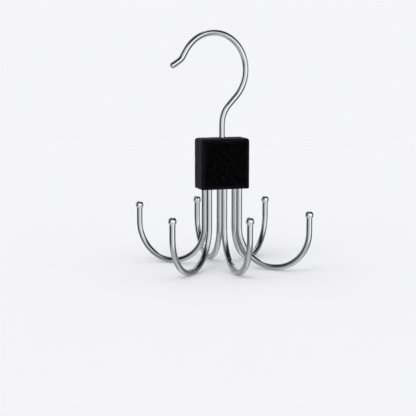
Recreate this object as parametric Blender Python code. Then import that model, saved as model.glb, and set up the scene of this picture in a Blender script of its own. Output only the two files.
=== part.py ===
"""Rotating closet hook: six ball-tipped J-hooks in a flocked block that turns on a hanger hook.

Metres, +Z up. The origin is on the swivel axis, on the ground that the six J-hooks stand on.
+X runs along the block's wide face and -Y is its front.
"""

import math

import bmesh
import bpy
from mathutils import Matrix, Vector

MM = 0.001

# Wire, and the six J-hooks
WIRE_D = 4.0 * MM
SHANK_PITCH = 10.6 * MM
ROW_OFFSET = 5.1 * MM
SHANK_DROP = 26.5 * MM
J_RADIUS = 25.4 * MM
TIP_ARM = 11.3 * MM
FAN_ANGLE = math.radians(45.0)

# Flattened upper end of a J-hook's wire
ANCHOR_WING = 1.2 * MM
ANCHOR_THICK = 2.2 * MM
ANCHOR_LENGTH = 3.0 * MM
ANCHOR_TAPER = 1.0 * MM

# Ball tips
BALL_LIP = 0.8 * MM
BALL_MOUTH = 1.0 * MM
BALL_SOCKET = 1.5 * MM

# Block cover
BLOCK_HEIGHT = 33.0 * MM
BLOCK_END = 5.7 * MM
COVER_WALL = 1.0 * MM
COVER_ROOF = 2.4 * MM
EDGE_ROUND = 1.2 * MM
RIM_ROUND = 0.35 * MM

# Hanger hook, from the block's roof to its free end
HOOK_TURN = math.radians(12.0)
NECK_RISE = 9.5 * MM
NECK_BEND_R = 17.5 * MM
NECK_BEND = math.radians(45.0)
NECK_RUN = 8.5 * MM
CROOK_R = 24.6 * MM
CROOK_SWEEP = math.radians(193.5)
LIP_RUN = 4.4 * MM
LIP_BEND_R = 9.1 * MM
LIP_BEND = math.radians(27.0)
LIP_END = 4.9 * MM

# Swivel under the roof
BUSH_WALL = 1.3 * MM
BUSH_DEPTH = 3.0 * MM
BUSH_FLANGE = 2.0 * MM
BUSH_FLANGE_THICK = 1.0 * MM
BUSH_SEAT_WALL = 2.3 * MM
WASHER_WIDTH = 2.7 * MM
WASHER_THICK = 0.8 * MM
COLLAR_WALL = 1.6 * MM
COLLAR_HEIGHT = 3.5 * MM
PEEN_LIP = 0.7 * MM
PEEN_HEIGHT = 0.8 * MM
PEEN_ROOM = 0.8 * MM

# Wire carrier and its screws
CARRIER_DECK = 1.8 * MM
CARRIER_RECESS = 0.2 * MM
CARRIER_CHAMFER = 0.4 * MM
SCREW_D = 2.2 * MM
SCREW_LENGTH = 16.0 * MM
SCREW_HEAD_D = 3.8 * MM
SCREW_HEAD_HEIGHT = 1.4 * MM
SCREW_SOCKET_D = 2.0 * MM
SCREW_SOCKET_DEPTH = 0.8 * MM
POST_WALL = 1.5 * MM

# Clearances
GAP = 0.3 * MM
RUN_GAP = 0.15 * MM
GRIP_GAP = 0.2 * MM
OVERCUT = 1.0 * MM

# Facets
WIRE_SIDES = 12
TURN_SIDES = 24
BEND_STEP = math.radians(10.0)
BALL_STEP = math.radians(18.0)
DOME_STEPS = 3

# Sizes that follow from the ones above
WIRE_R = WIRE_D / 2
BALL_R = WIRE_R + BALL_LIP
ANCHOR_HALF = WIRE_R + ANCHOR_WING
CHANNEL_R = WIRE_R + GAP
POCKET_HEIGHT = ANCHOR_TAPER + ANCHOR_LENGTH + 2 * GAP

BLOCK_Z = WIRE_R + J_RADIUS + SHANK_DROP
BLOCK_TOP = BLOCK_Z + BLOCK_HEIGHT
BALL_Z = WIRE_R + J_RADIUS + TIP_ARM
BLOCK_HALF_X = SHANK_PITCH + BLOCK_END
BLOCK_HALF_Y = ROW_OFFSET + CHANNEL_R + COVER_WALL
CAVITY_HALF_X = BLOCK_HALF_X - COVER_WALL
CAVITY_HALF_Y = BLOCK_HALF_Y - COVER_WALL
ROOF_Z = BLOCK_TOP - COVER_ROOF

BUSH_BORE_R = WIRE_R + RUN_GAP
BUSH_R = BUSH_BORE_R + BUSH_WALL
FLANGE_R = BUSH_R + BUSH_FLANGE
SEAT_BORE_R = BUSH_R + GRIP_GAP
SEAT_R = SEAT_BORE_R + BUSH_SEAT_WALL
SEAT_Z = ROOF_Z - BUSH_DEPTH
FLANGE_TOP = SEAT_Z - GAP
FLANGE_BOTTOM = FLANGE_TOP - BUSH_FLANGE_THICK
WASHER_TOP = FLANGE_BOTTOM - GAP
WASHER_BOTTOM = WASHER_TOP - WASHER_THICK
COLLAR_TOP = WASHER_BOTTOM - GAP
COLLAR_BOTTOM = COLLAR_TOP - COLLAR_HEIGHT
PEEN_TOP = COLLAR_BOTTOM - GAP
PEEN_BOTTOM = PEEN_TOP - PEEN_HEIGHT

CARRIER_TOP = PEEN_BOTTOM - PEEN_ROOM
CARRIER_BOTTOM = BLOCK_Z + CARRIER_RECESS
CARRIER_HALF_X = CAVITY_HALF_X - GAP
CARRIER_HALF_Y = CAVITY_HALF_Y - GAP
POCKET_TOP = CARRIER_TOP - CARRIER_DECK
POCKET_FLOOR = POCKET_TOP - POCKET_HEIGHT
ANCHOR_TOP = POCKET_TOP - GAP

SCREW_R = SCREW_D / 2
SCREW_HEAD_R = SCREW_HEAD_D / 2
POST_BOTTOM = CARRIER_TOP + GAP
POST_R = SCREW_R + GRIP_GAP + POST_WALL
SCREW_TIP = ROOF_Z - BUSH_DEPTH - POST_WALL
SCREW_SEAT = SCREW_TIP - SCREW_LENGTH
SCREW_HOLE_END = SCREW_TIP + GAP


def clear_scene():
    for item in list(bpy.data.objects):
        bpy.data.objects.remove(item, do_unlink=True)


def material(name, colour, roughness, metallic=0.0):
    made = bpy.data.materials.new(name)
    made.use_nodes = True
    shader = made.node_tree.nodes["Principled BSDF"]
    shader.inputs["Base Color"].default_value = (*colour, 1.0)
    shader.inputs["Roughness"].default_value = roughness
    shader.inputs["Metallic"].default_value = metallic
    made.diffuse_color = (*colour, 1.0)
    return made


def finish_mesh(bm, name, sharp_angle=math.radians(40.0)):
    """Turn a finished bmesh into a mesh with outward faces and smooth round sides."""
    bmesh.ops.remove_doubles(bm, verts=bm.verts, dist=0.001 * MM)
    bmesh.ops.recalc_face_normals(bm, faces=bm.faces)
    mesh = bpy.data.meshes.new(name)
    bm.to_mesh(mesh)
    bm.free()
    mesh.shade_smooth()
    mesh.set_sharp_from_angle(angle=sharp_angle)
    return mesh


def place(name, mesh, finish=None, at=(0.0, 0.0, 0.0), turn=0.0, parent=None):
    """Add one named piece at its place, turned about the vertical."""
    piece = bpy.data.objects.new(name, mesh)
    piece.location = at
    piece.rotation_euler = (0.0, 0.0, turn)
    piece.parent = parent
    bpy.context.collection.objects.link(piece)
    if finish is not None and not mesh.materials:
        mesh.materials.append(finish)
    return piece


def guide(name, bm):
    """Add a shape that only cuts or joins other pieces."""
    tool = place(name, finish_mesh(bm, name))
    tool.hide_render = True
    tool.display_type = "WIRE"
    return tool


def combine(piece, tool, operation):
    step = piece.modifiers.new(tool.name, "BOOLEAN")
    step.operation = operation
    step.solver = "EXACT"
    step.object = tool


def add_box(bm, low, high):
    """Add a box between two corners."""
    low, high = Vector(low), Vector(high)
    size = high - low
    shape = Matrix.Translation((low + high) / 2) @ Matrix.Diagonal((*size, 1.0))
    return bmesh.ops.create_cube(bm, size=1.0, matrix=shape)["verts"]


def add_turned(bm, profile, at=(0.0, 0.0)):
    """Spin a profile of (radius, height) points about a vertical line through at.

    A profile that starts and ends on the axis is closed by its poles. Any other is a closed ring.
    """
    chain = [bm.verts.new((at[0] + radius, at[1], height)) for radius, height in profile]
    pairs = list(zip(chain, chain[1:]))
    if profile[0][0] > 0.0:
        pairs.append((chain[-1], chain[0]))
    edges = [bm.edges.new(pair) for pair in pairs]
    bmesh.ops.spin(bm, geom=chain + edges, cent=(*at, 0.0), axis=(0.0, 0.0, 1.0),
                   angle=math.tau, steps=TURN_SIDES, use_merge=True)
    bmesh.ops.remove_doubles(bm, verts=bm.verts, dist=0.001 * MM)


def add_prism(bm, outline, low, high):
    """Extrude a flat outline from one height to another."""
    floor = bm.faces.new([bm.verts.new((x, y, low)) for x, y in outline])
    raised = bmesh.ops.extrude_face_region(bm, geom=[floor])["geom"]
    lifted = [item for item in raised if isinstance(item, bmesh.types.BMVert)]
    bmesh.ops.translate(bm, verts=lifted, vec=(0.0, 0.0, high - low))


def ring_profile(inner, outer, low, high, chamfer=0.0):
    """Closed section of a plain ring, its outer corners chamfered."""
    return [(inner, low), (inner, high), (outer - chamfer, high), (outer, high - chamfer),
            (outer, low + chamfer), (outer - chamfer, low)]


class WireRun:
    """A wire that grows ring by ring as it is fed forward and bent in one plane."""

    def __init__(self, start, heading, normal, radius):
        self.mesh = bmesh.new()
        self.point = Vector(start)
        self.heading = Vector(heading).normalized()
        self.normal = Vector(normal).normalized()
        side = self.normal.cross(self.heading)
        corners = []
        for index in range(WIRE_SIDES):
            angle = math.tau * index / WIRE_SIDES
            offset = radius * (math.cos(angle) * side + math.sin(angle) * self.normal)
            corners.append(self.mesh.verts.new(self.point + offset))
        self.ring = corners
        self.edges = self.mesh.faces.new(corners).edges[:]

    def grow(self, move):
        """Extrude the last ring and move the new one."""
        grown = bmesh.ops.extrude_edge_only(self.mesh, edges=self.edges)["geom"]
        self.edges = [item for item in grown if isinstance(item, bmesh.types.BMEdge)]
        self.ring = [item for item in grown if isinstance(item, bmesh.types.BMVert)]
        bmesh.ops.transform(self.mesh, matrix=move, verts=self.ring)

    def feed(self, length, widths=(1.0, 1.0), across=(1.0, 0.0, 0.0)):
        """Run straight on, and scale the ring by widths along across and square to it."""
        step = Matrix.Translation(self.heading * length)
        self.point = self.point + self.heading * length
        square = self.heading.cross(Vector(across))
        stretch = (Matrix.Scale(widths[0], 4, across) @ Matrix.Scale(widths[1], 4, square))
        about = Matrix.Translation(self.point)
        self.grow(about @ stretch @ about.inverted() @ step)

    def bend(self, radius, angle):
        """Bend towards normal x heading, or away from it where the angle is negative."""
        steps = max(1, round(abs(angle) / BEND_STEP))
        side = self.normal.cross(self.heading) * math.copysign(radius, angle)
        about = Matrix.Translation(self.point + side)
        turn = about @ Matrix.Rotation(angle / steps, 4, self.normal) @ about.inverted()
        for _ in range(steps):
            self.grow(turn)
            self.point = turn @ self.point
            self.heading = turn.to_3x3() @ self.heading

    def dome(self, radius):
        """End in a half ball."""
        for index in range(1, DOME_STEPS + 1):
            before = math.pi / 2 * (index - 1) / (DOME_STEPS + 0.5)
            after = math.pi / 2 * index / (DOME_STEPS + 0.5)
            shrink = math.cos(after) / math.cos(before)
            across = self.normal
            self.feed(radius * (math.sin(after) - math.sin(before)), (shrink, shrink), across)

    def finish(self, name):
        bmesh.ops.edgeloop_fill(self.mesh, edges=self.edges)
        return finish_mesh(self.mesh, name)


def j_hook_mesh(name, fan):
    """One J-hook: flattened anchor, shank, half-round bend and tip arm.

    Its origin is on the shank's axis at the block's underside, and its row's front is -Y.
    """
    out = Vector((math.sin(fan), -math.cos(fan), 0.0))
    wire = WireRun(start=(0.0, 0.0, ANCHOR_TOP - BLOCK_Z), heading=(0.0, 0.0, -1.0),
                   normal=(out.y, -out.x, 0.0), radius=WIRE_R)
    flat = (ANCHOR_HALF / WIRE_R, ANCHOR_THICK / WIRE_D)
    across = Vector((1.0, 0.0, 0.0))
    about = Matrix.Translation(wire.point)
    press = Matrix.Scale(flat[0], 4, across) @ Matrix.Scale(flat[1], 4, (0.0, 1.0, 0.0))
    bmesh.ops.transform(wire.mesh, matrix=about @ press @ about.inverted(), verts=wire.ring)
    wire.feed(ANCHOR_LENGTH)
    wire.feed(ANCHOR_TAPER, (1 / flat[0], 1 / flat[1]), across)
    wire.feed(wire.point.z + SHANK_DROP)
    wire.bend(J_RADIUS, math.pi)
    wire.feed(TIP_ARM - BALL_MOUTH + BALL_SOCKET - GAP)
    return wire.finish(name)


def ball_tip_mesh():
    """A ball with a blind socket for the wire's end, its centre at the origin."""
    mouth_r = math.sqrt(BALL_R ** 2 - BALL_MOUTH ** 2)
    lowest = -math.asin(BALL_MOUTH / BALL_R)
    steps = round((math.pi / 2 - lowest) / BALL_STEP)
    profile = [(0.0, BALL_R)]
    for index in range(1, steps):
        angle = math.pi / 2 + (lowest - math.pi / 2) * index / steps
        profile.append((BALL_R * math.cos(angle), BALL_R * math.sin(angle)))
    profile.append((mouth_r, -BALL_MOUTH))
    profile.append((WIRE_R + GRIP_GAP, -BALL_MOUTH))
    profile.append((WIRE_R + GRIP_GAP, BALL_SOCKET - BALL_MOUTH))
    profile.append((0.0, BALL_SOCKET - BALL_MOUTH))
    bm = bmesh.new()
    add_turned(bm, profile)
    return finish_mesh(bm, "ball_tip")


def make_j_hooks(steel, polished):
    """Two rows of three J-hooks: the back row is the front row turned half round."""
    columns = {"left": -1, "middle": 0, "right": 1}
    shapes = {column: j_hook_mesh("j_hook_" + column, side * FAN_ANGLE)
              for column, side in columns.items()}
    ball = ball_tip_mesh()
    opposite = {"left": "right", "middle": "middle", "right": "left"}
    for row, turn in (("front", 0.0), ("back", math.pi)):
        holder = place(row + "_row", None, at=(0.0, 0.0, BLOCK_Z), turn=turn)
        for column, side in columns.items():
            label = row + "_" + (column if row == "front" else opposite[column])
            shank = Vector((side * SHANK_PITCH, -ROW_OFFSET, 0.0))
            fan = side * FAN_ANGLE
            reach = 2 * J_RADIUS * Vector((math.sin(fan), -math.cos(fan), 0.0))
            tip = shank + reach + Vector((0.0, 0.0, BALL_Z - BLOCK_Z))
            place("j_hook_" + label, shapes[column], steel, at=shank, parent=holder)
            place("ball_tip_" + label, ball, polished, at=tip, parent=holder)


def make_hanger_hook(steel, swivel):
    """Peened end, neck, swan bend, crook and turned-out lip, in one plane."""
    along = Vector((math.cos(HOOK_TURN), math.sin(HOOK_TURN), 0.0))
    wire = WireRun(start=(0.0, 0.0, PEEN_BOTTOM - SEAT_Z), heading=(0.0, 0.0, 1.0),
                   normal=(along.y, -along.x, 0.0), radius=WIRE_R + PEEN_LIP)
    wire.feed(PEEN_HEIGHT)
    wire.feed(0.0, (WIRE_R / (WIRE_R + PEEN_LIP),) * 2)
    wire.feed(BLOCK_TOP + NECK_RISE - PEEN_TOP)
    wire.bend(NECK_BEND_R, -NECK_BEND)
    wire.feed(NECK_RUN)
    wire.bend(CROOK_R, CROOK_SWEEP)
    wire.feed(LIP_RUN)
    wire.bend(LIP_BEND_R, -LIP_BEND)
    wire.feed(LIP_END)
    wire.dome(WIRE_R)
    place("hanger_hook", wire.finish("hanger_hook"), steel, parent=swivel)


def make_swivel(steel, nylon, swivel):
    """Flanged bush and washer on the block, and the collar that turns with the hook."""
    bm = bmesh.new()
    add_turned(bm, [(BUSH_BORE_R, FLANGE_BOTTOM), (BUSH_BORE_R, ROOF_Z - GAP),
                    (BUSH_R, ROOF_Z - GAP), (BUSH_R, FLANGE_TOP), (FLANGE_R, FLANGE_TOP),
                    (FLANGE_R, FLANGE_BOTTOM)])
    place("swivel_bush", finish_mesh(bm, "swivel_bush"), nylon)
    bm = bmesh.new()
    bore = WIRE_R + GRIP_GAP
    add_turned(bm, ring_profile(bore, bore + WASHER_WIDTH, WASHER_BOTTOM, WASHER_TOP))
    place("thrust_washer", finish_mesh(bm, "thrust_washer"), steel)
    bm = bmesh.new()
    add_turned(bm, ring_profile(bore, bore + COLLAR_WALL, COLLAR_BOTTOM - SEAT_Z,
                                COLLAR_TOP - SEAT_Z, GAP))
    place("swivel_collar", finish_mesh(bm, "swivel_collar"), steel, parent=swivel)


def screw_places():
    return {"left": -SHANK_PITCH, "right": SHANK_PITCH}


def make_cover(flock):
    """Rounded box, open below, with a bush seat and two screw posts under its roof."""
    bm = bmesh.new()
    add_box(bm, (-BLOCK_HALF_X, -BLOCK_HALF_Y, BLOCK_Z), (BLOCK_HALF_X, BLOCK_HALF_Y, BLOCK_TOP))
    rim = [edge for edge in bm.edges if all(vert.co.z < ROOF_Z for vert in edge.verts)]
    shell_edges = [edge for edge in bm.edges if edge not in rim]
    bmesh.ops.bevel(bm, geom=shell_edges, offset=EDGE_ROUND, segments=4, profile=0.5,
                    affect="EDGES")
    low = [edge for edge in bm.edges if all(vert.co.z < BLOCK_Z + OVERCUT for vert in edge.verts)
           and len(edge.link_faces) == 2 and edge.calc_face_angle() > math.radians(60.0)]
    bmesh.ops.bevel(bm, geom=low, offset=RIM_ROUND, segments=2, profile=0.5, affect="EDGES")
    cover = place("block_cover", finish_mesh(bm, "block_cover"), flock)

    bm = bmesh.new()
    add_box(bm, (-CAVITY_HALF_X, -CAVITY_HALF_Y, BLOCK_Z - OVERCUT),
            (CAVITY_HALF_X, CAVITY_HALF_Y, ROOF_Z))
    combine(cover, guide("cover_cavity", bm), "DIFFERENCE")

    bm = bmesh.new()
    inside_roof = ROOF_Z + COVER_ROOF / 2
    add_turned(bm, [(0.0, inside_roof), (SEAT_R, inside_roof), (SEAT_R, SEAT_Z), (0.0, SEAT_Z)])
    for x in screw_places().values():
        add_turned(bm, [(0.0, inside_roof), (POST_R, inside_roof), (POST_R, POST_BOTTOM),
                        (0.0, POST_BOTTOM)], at=(x, 0.0))
    combine(cover, guide("cover_posts", bm), "UNION")

    bm = bmesh.new()
    hole_r = WIRE_R + GAP
    add_turned(bm, [(0.0, BLOCK_TOP + OVERCUT), (hole_r, BLOCK_TOP + OVERCUT), (hole_r, ROOF_Z),
                    (SEAT_BORE_R, ROOF_Z), (SEAT_BORE_R, SEAT_Z - OVERCUT),
                    (0.0, SEAT_Z - OVERCUT)])
    for x in screw_places().values():
        pilot_r = SCREW_R + GRIP_GAP
        add_turned(bm, [(0.0, SCREW_HOLE_END), (pilot_r, SCREW_HOLE_END),
                        (pilot_r, POST_BOTTOM - OVERCUT), (0.0, POST_BOTTOM - OVERCUT)], at=(x, 0.0))
    combine(cover, guide("cover_holes", bm), "DIFFERENCE")


def channel_outline(x, row):
    """Outline of a shank's channel: a half circle inwards, open to the carrier's face."""
    centre = row * ROW_OFFSET
    face = row * (CARRIER_HALF_Y + OVERCUT)
    half_turn = TURN_SIDES // 2
    inward = [(x + CHANNEL_R * math.cos(math.pi * step / half_turn),
               centre - row * CHANNEL_R * math.sin(math.pi * step / half_turn))
              for step in range(half_turn + 1)]
    return [(x + CHANNEL_R, face)] + inward + [(x - CHANNEL_R, face)]


def make_carrier(nylon):
    """Core with six open channels, six anchor pockets and two recessed screw holes."""
    bm = bmesh.new()
    add_box(bm, (-CARRIER_HALF_X, -CARRIER_HALF_Y, CARRIER_BOTTOM),
            (CARRIER_HALF_X, CARRIER_HALF_Y, CARRIER_TOP))
    bmesh.ops.bevel(bm, geom=bm.edges[:], offset=CARRIER_CHAMFER, segments=1, profile=0.5,
                    affect="EDGES")
    carrier = place("wire_carrier", finish_mesh(bm, "wire_carrier", math.radians(30.0)), nylon)

    channels, pockets, holes = bmesh.new(), bmesh.new(), bmesh.new()
    pocket_half = ANCHOR_HALF + GAP
    pocket_inner = ROW_OFFSET - ANCHOR_THICK / 2 - GAP
    for row in (-1, 1):
        for x in (-SHANK_PITCH, 0.0, SHANK_PITCH):
            add_prism(channels, channel_outline(x, row), CARRIER_BOTTOM - OVERCUT, POCKET_TOP)
            near, far = sorted((row * pocket_inner, row * (CARRIER_HALF_Y + OVERCUT)))
            add_box(pockets, (x - pocket_half, near, POCKET_FLOOR),
                    (x + pocket_half, far, POCKET_TOP))
    for x in screw_places().values():
        hole_r, recess_r = SCREW_R + GRIP_GAP, SCREW_HEAD_R + GAP
        add_turned(holes, [(0.0, CARRIER_TOP + OVERCUT), (hole_r, CARRIER_TOP + OVERCUT),
                           (hole_r, SCREW_SEAT + GAP), (recess_r, SCREW_SEAT + GAP),
                           (recess_r, CARRIER_BOTTOM - OVERCUT),
                           (0.0, CARRIER_BOTTOM - OVERCUT)], at=(x, 0.0))
    combine(carrier, guide("carrier_channels", channels), "DIFFERENCE")
    combine(carrier, guide("carrier_pockets", pockets), "DIFFERENCE")
    combine(carrier, guide("carrier_holes", holes), "DIFFERENCE")


def make_screws(steel):
    """Pan-head screws with a hexagon socket, driven up from below."""
    bm = bmesh.new()
    head_low = SCREW_SEAT - SCREW_HEAD_HEIGHT
    add_turned(bm, [(0.0, SCREW_TIP), (SCREW_R / 2, SCREW_TIP), (SCREW_R, SCREW_TIP - SCREW_R),
                    (SCREW_R, SCREW_SEAT), (SCREW_HEAD_R, SCREW_SEAT),
                    (SCREW_HEAD_R, head_low + GAP), (SCREW_HEAD_R - GAP, head_low),
                    (0.0, head_low)])
    shape = finish_mesh(bm, "carrier_screw")
    bm = bmesh.new()
    hexagon = [(SCREW_SOCKET_D / 2 * math.cos(math.tau * corner / 6),
                SCREW_SOCKET_D / 2 * math.sin(math.tau * corner / 6)) for corner in range(6)]
    add_prism(bm, hexagon, head_low - OVERCUT, head_low + SCREW_SOCKET_DEPTH)
    socket_shape = finish_mesh(bm, "screw_socket")
    for side, x in screw_places().items():
        screw = place("carrier_screw_" + side, shape, steel, at=(x, 0.0, 0.0))
        socket = place("screw_socket_" + side, socket_shape, at=(x, 0.0, 0.0))
        socket.hide_render = True
        socket.display_type = "WIRE"
        combine(screw, socket, "DIFFERENCE")


def main():
    clear_scene()
    chromed_wire = material("chromed_steel_wire", (0.62, 0.62, 0.63), 0.18, 1.0)
    polished_ball = material("polished_steel_ball", (0.70, 0.70, 0.71), 0.08, 1.0)
    black_flock = material("black_flock_on_abs", (0.004, 0.004, 0.005), 0.95)
    plain_steel = material("zinc_plated_steel", (0.45, 0.46, 0.48), 0.35, 1.0)
    white_nylon = material("white_nylon", (0.74, 0.73, 0.69), 0.45)
    black_nylon = material("black_nylon", (0.02, 0.02, 0.02), 0.50)

    swivel = place("hook_swivel", None, at=(0.0, 0.0, SEAT_Z))
    make_j_hooks(chromed_wire, polished_ball)
    make_cover(black_flock)
    make_carrier(black_nylon)
    make_screws(plain_steel)
    make_swivel(plain_steel, white_nylon, swivel)
    make_hanger_hook(chromed_wire, swivel)


main()
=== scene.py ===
"""Looks of the rotating closet hook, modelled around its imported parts.

Metres, +Z up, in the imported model's own frame. The origin is on the swivel axis, on the ground
that the six J-hooks stand on. +X runs along the block's wide face and -Y is its front.
"""

import math

import bmesh
import bpy
from bpy.props import FloatProperty, FloatVectorProperty, IntProperty, PointerProperty
from mathutils import Matrix, Vector
from mathutils.kdtree import KDTree


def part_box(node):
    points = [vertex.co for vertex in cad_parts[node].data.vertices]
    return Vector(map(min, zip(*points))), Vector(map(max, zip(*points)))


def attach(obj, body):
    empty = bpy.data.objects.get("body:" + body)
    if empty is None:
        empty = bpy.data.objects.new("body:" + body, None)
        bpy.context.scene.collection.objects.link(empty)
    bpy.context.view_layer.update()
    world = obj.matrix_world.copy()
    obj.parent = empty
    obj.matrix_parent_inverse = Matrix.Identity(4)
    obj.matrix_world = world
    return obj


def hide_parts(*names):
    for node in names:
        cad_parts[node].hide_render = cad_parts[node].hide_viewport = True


bl_info = {
    "name": "Rotating Closet Hook",
    "version": (1, 0, 0),
    "blender": (4, 5, 0),
    "location": "3D View > Sidebar > Closet Hook",
    "description": "Models and dresses a six-way closet hook that turns on its hanger hook",
    "category": "Add Mesh",
}

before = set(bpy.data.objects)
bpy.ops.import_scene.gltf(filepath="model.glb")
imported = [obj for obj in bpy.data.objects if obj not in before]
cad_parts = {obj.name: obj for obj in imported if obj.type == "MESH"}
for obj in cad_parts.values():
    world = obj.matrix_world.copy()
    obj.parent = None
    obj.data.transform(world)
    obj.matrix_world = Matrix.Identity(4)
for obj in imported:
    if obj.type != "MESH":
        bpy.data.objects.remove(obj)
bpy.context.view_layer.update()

MM = 0.001
ROWS = ("front", "back")
COLUMNS = {"left": -1, "middle": 0, "right": 1}
OPPOSITE = {"left": "right", "middle": "middle", "right": "left"}
WIRE_FINISH = "bright_chrome_on_drawn_wire"
# Points closer together than this are welded.
WELD = 0.002 * MM
# How close a straight run's inner rings are to its ends, which keeps its shading straight.
RING_HOLD = 0.2 * MM
# How far a J-hook's wire ends below the end of its ball's socket.
SOCKET_GAP = 0.3 * MM
# How far a piece's box may be from its node's, and how much lower a ball's neck may reach.
PLACE_TOLERANCE = 0.35 * MM
NECK_REACH = 2.0 * MM


def linear(code):
    """Turn an sRGB hex colour into linear red, green, blue and alpha."""
    channels = [int(code[place:place + 2], 16) / 255 for place in (1, 3, 5)]
    return tuple(c / 12.92 if c <= 0.04045 else ((c + 0.055) / 1.055) ** 2.4
                 for c in channels) + (1.0,)


def size_property(name, description, default):
    return FloatProperty(name=name, description=description, default=default, min=0.0,
                         precision=5, unit="LENGTH")


def angle_property(name, description, degrees):
    return FloatProperty(name=name, description=description, default=math.radians(degrees),
                         unit="ROTATION")


def colour_property(name, description, code):
    return FloatVectorProperty(name=name, description=description, default=linear(code), size=4,
                               subtype="COLOR", min=0.0, max=1.0)


# Sizes and colours

class CLOSETHOOK_PG_wire(bpy.types.PropertyGroup):
    """The wire that every hook is bent from, and its chrome."""

    diameter: size_property("Diameter", "Thickness of the wire", 4.0 * MM)
    sides: IntProperty(name="Sides", description="Flats round the wire", default=48, min=8)
    bend_step: angle_property("Bend step", "Angle between two rings of a bend", 2.5)
    fan: angle_property("Fan", "How far the outer J-hooks turn from the block's front", 45.0)
    anchor_width: size_property("Anchor width", "Width of the flattened upper end", 6.4 * MM)
    anchor_thickness: size_property("Anchor thickness", "Thickness of that end", 2.2 * MM)
    anchor_length: size_property("Anchor length", "Length that is pressed flat", 3.0 * MM)
    anchor_taper: size_property("Anchor taper", "Length from flat back to round", 1.0 * MM)
    colour: colour_property("Chrome", "Colour of the bright chrome plating", "#d4d5d8")
    roughness: FloatProperty(name="Roughness", description="Roughness of the plating",
                             default=0.08, min=0.0, max=1.0, subtype="FACTOR")


class CLOSETHOOK_PG_hanger(bpy.types.PropertyGroup):
    """The hanger hook, from the block's roof to its free end."""

    turn: angle_property("Turn", "Turn of the hook's plane from the block's wide face", 12.0)
    neck_rise: size_property("Neck rise", "Straight neck above the block", 9.5 * MM)
    neck_radius: size_property("Neck bend radius", "Centreline radius of the neck", 17.5 * MM)
    neck_bend: angle_property("Neck bend", "How far the neck leans out", 45.0)
    neck_run: size_property("Neck run", "Straight length from neck to crook", 8.5 * MM)
    crook_radius: size_property("Crook radius", "Centreline radius over the rod", 24.6 * MM)
    crook_sweep: angle_property("Crook sweep", "Angle that the crook goes round", 193.5)
    lip_run: size_property("Lip run", "Straight length after the crook", 4.4 * MM)
    lip_radius: size_property("Lip bend radius", "Centreline radius of the lip", 9.1 * MM)
    lip_bend: angle_property("Lip bend", "How far the end turns out again", 27.0)
    lip_end: size_property("Lip end", "Length after the last bend, with the dome", 6.9 * MM)
    dome: size_property("Dome", "Height of the dome on the free end", 1.3 * MM)
    peen_radius: size_property("Peen radius", "Radius of the peened lower end", 2.7 * MM)
    peen_height: size_property("Peen height", "Height of the peened lower end", 0.8 * MM)


class CLOSETHOOK_PG_ball(bpy.types.PropertyGroup):
    """The ball on each J-hook's tip."""

    neck_radius: size_property("Neck radius", "Hollow between ball and wire", 0.8 * MM)
    fit: size_property("Fit", "Gap round the wire in the ball's socket", 0.02 * MM)
    lip: size_property("Lip", "Thickness of the ball's lower edge", 0.04 * MM)
    socket: size_property("Socket", "Height of the socket's end above the centre", 0.5 * MM)
    colour: colour_property("Polish", "Colour of the polished ball", "#f0f1f3")


class CLOSETHOOK_PG_block(bpy.types.PropertyGroup):
    """The flocked block that holds the wires."""

    wall: size_property("Wall", "Thickness of the sides", 1.0 * MM)
    roof: size_property("Roof", "Thickness of the top", 2.4 * MM)
    pile: size_property("Pile", "Height of the flock on the shell's sides", 0.50 * MM)
    pile_above: size_property("Pile above", "Height of the flock on the shell's top", 0.28 * MM)
    pile_below: size_property("Pile below", "How far the flock hangs past the rim", 0.45 * MM)
    edge_round: size_property("Edge radius", "Rounding of the outer edges", 2.0 * MM)
    rim_round: size_property("Rim radius", "Rounding of the lower rim", 0.5 * MM)
    wire_hole: size_property("Wire hole", "Radius of the hole for the hanger hook", 2.3 * MM)
    seat_radius: size_property("Seat radius", "Radius of the boss that seats the bush", 5.95 * MM)
    seat_bore: size_property("Seat bore", "Radius of the bush's seat", 3.65 * MM)
    seat_depth: size_property("Seat depth", "Height of that boss", 3.0 * MM)
    post_radius: size_property("Post radius", "Radius of a screw post", 2.8 * MM)
    post_bore: size_property("Post bore", "Radius of a screw post's hole", 1.3 * MM)
    skin_grid: size_property("Skin grid", "Spacing of the flocked skin's mesh", 0.35 * MM)
    tuft_relief: size_property("Tuft relief", "Height of the tufts in the pile", 0.10 * MM)
    tuft_spacing: size_property("Tuft spacing", "Width of the tufts in the pile", 1.1 * MM)
    wave_relief: size_property("Wave relief", "Height of the slow waves in the pile", 0.16 * MM)
    wave_spacing: size_property("Wave spacing", "Width of the slow waves in the pile", 7.0 * MM)
    colour: colour_property("Flock", "Colour of the flock fibres", "#050506")
    sheen: colour_property("Flock sheen", "Colour of the light on the fibres' sides", "#a19dae")
    # A painted sheen: a lighter colour painted onto the flock near its edges, and how far in it
    # reaches.
    painted_edge_sheen: colour_property("Splay", "Colour where the fibres splay on an edge", "#161618")
    painted_sheen_width: size_property("Splay width", "How far in from an edge they splay", 4.0 * MM)


class CLOSETHOOK_PG_inside(bpy.types.PropertyGroup):
    """The parts inside the block."""

    black_nylon: colour_property("Black nylon", "Colour of the moulded wire carrier", "#161617")
    white_nylon: colour_property("White nylon", "Colour of the swivel bush", "#dcdad0")
    zinc: colour_property("Zinc", "Colour of the zinc-plated steel", "#b3b8be")


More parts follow.
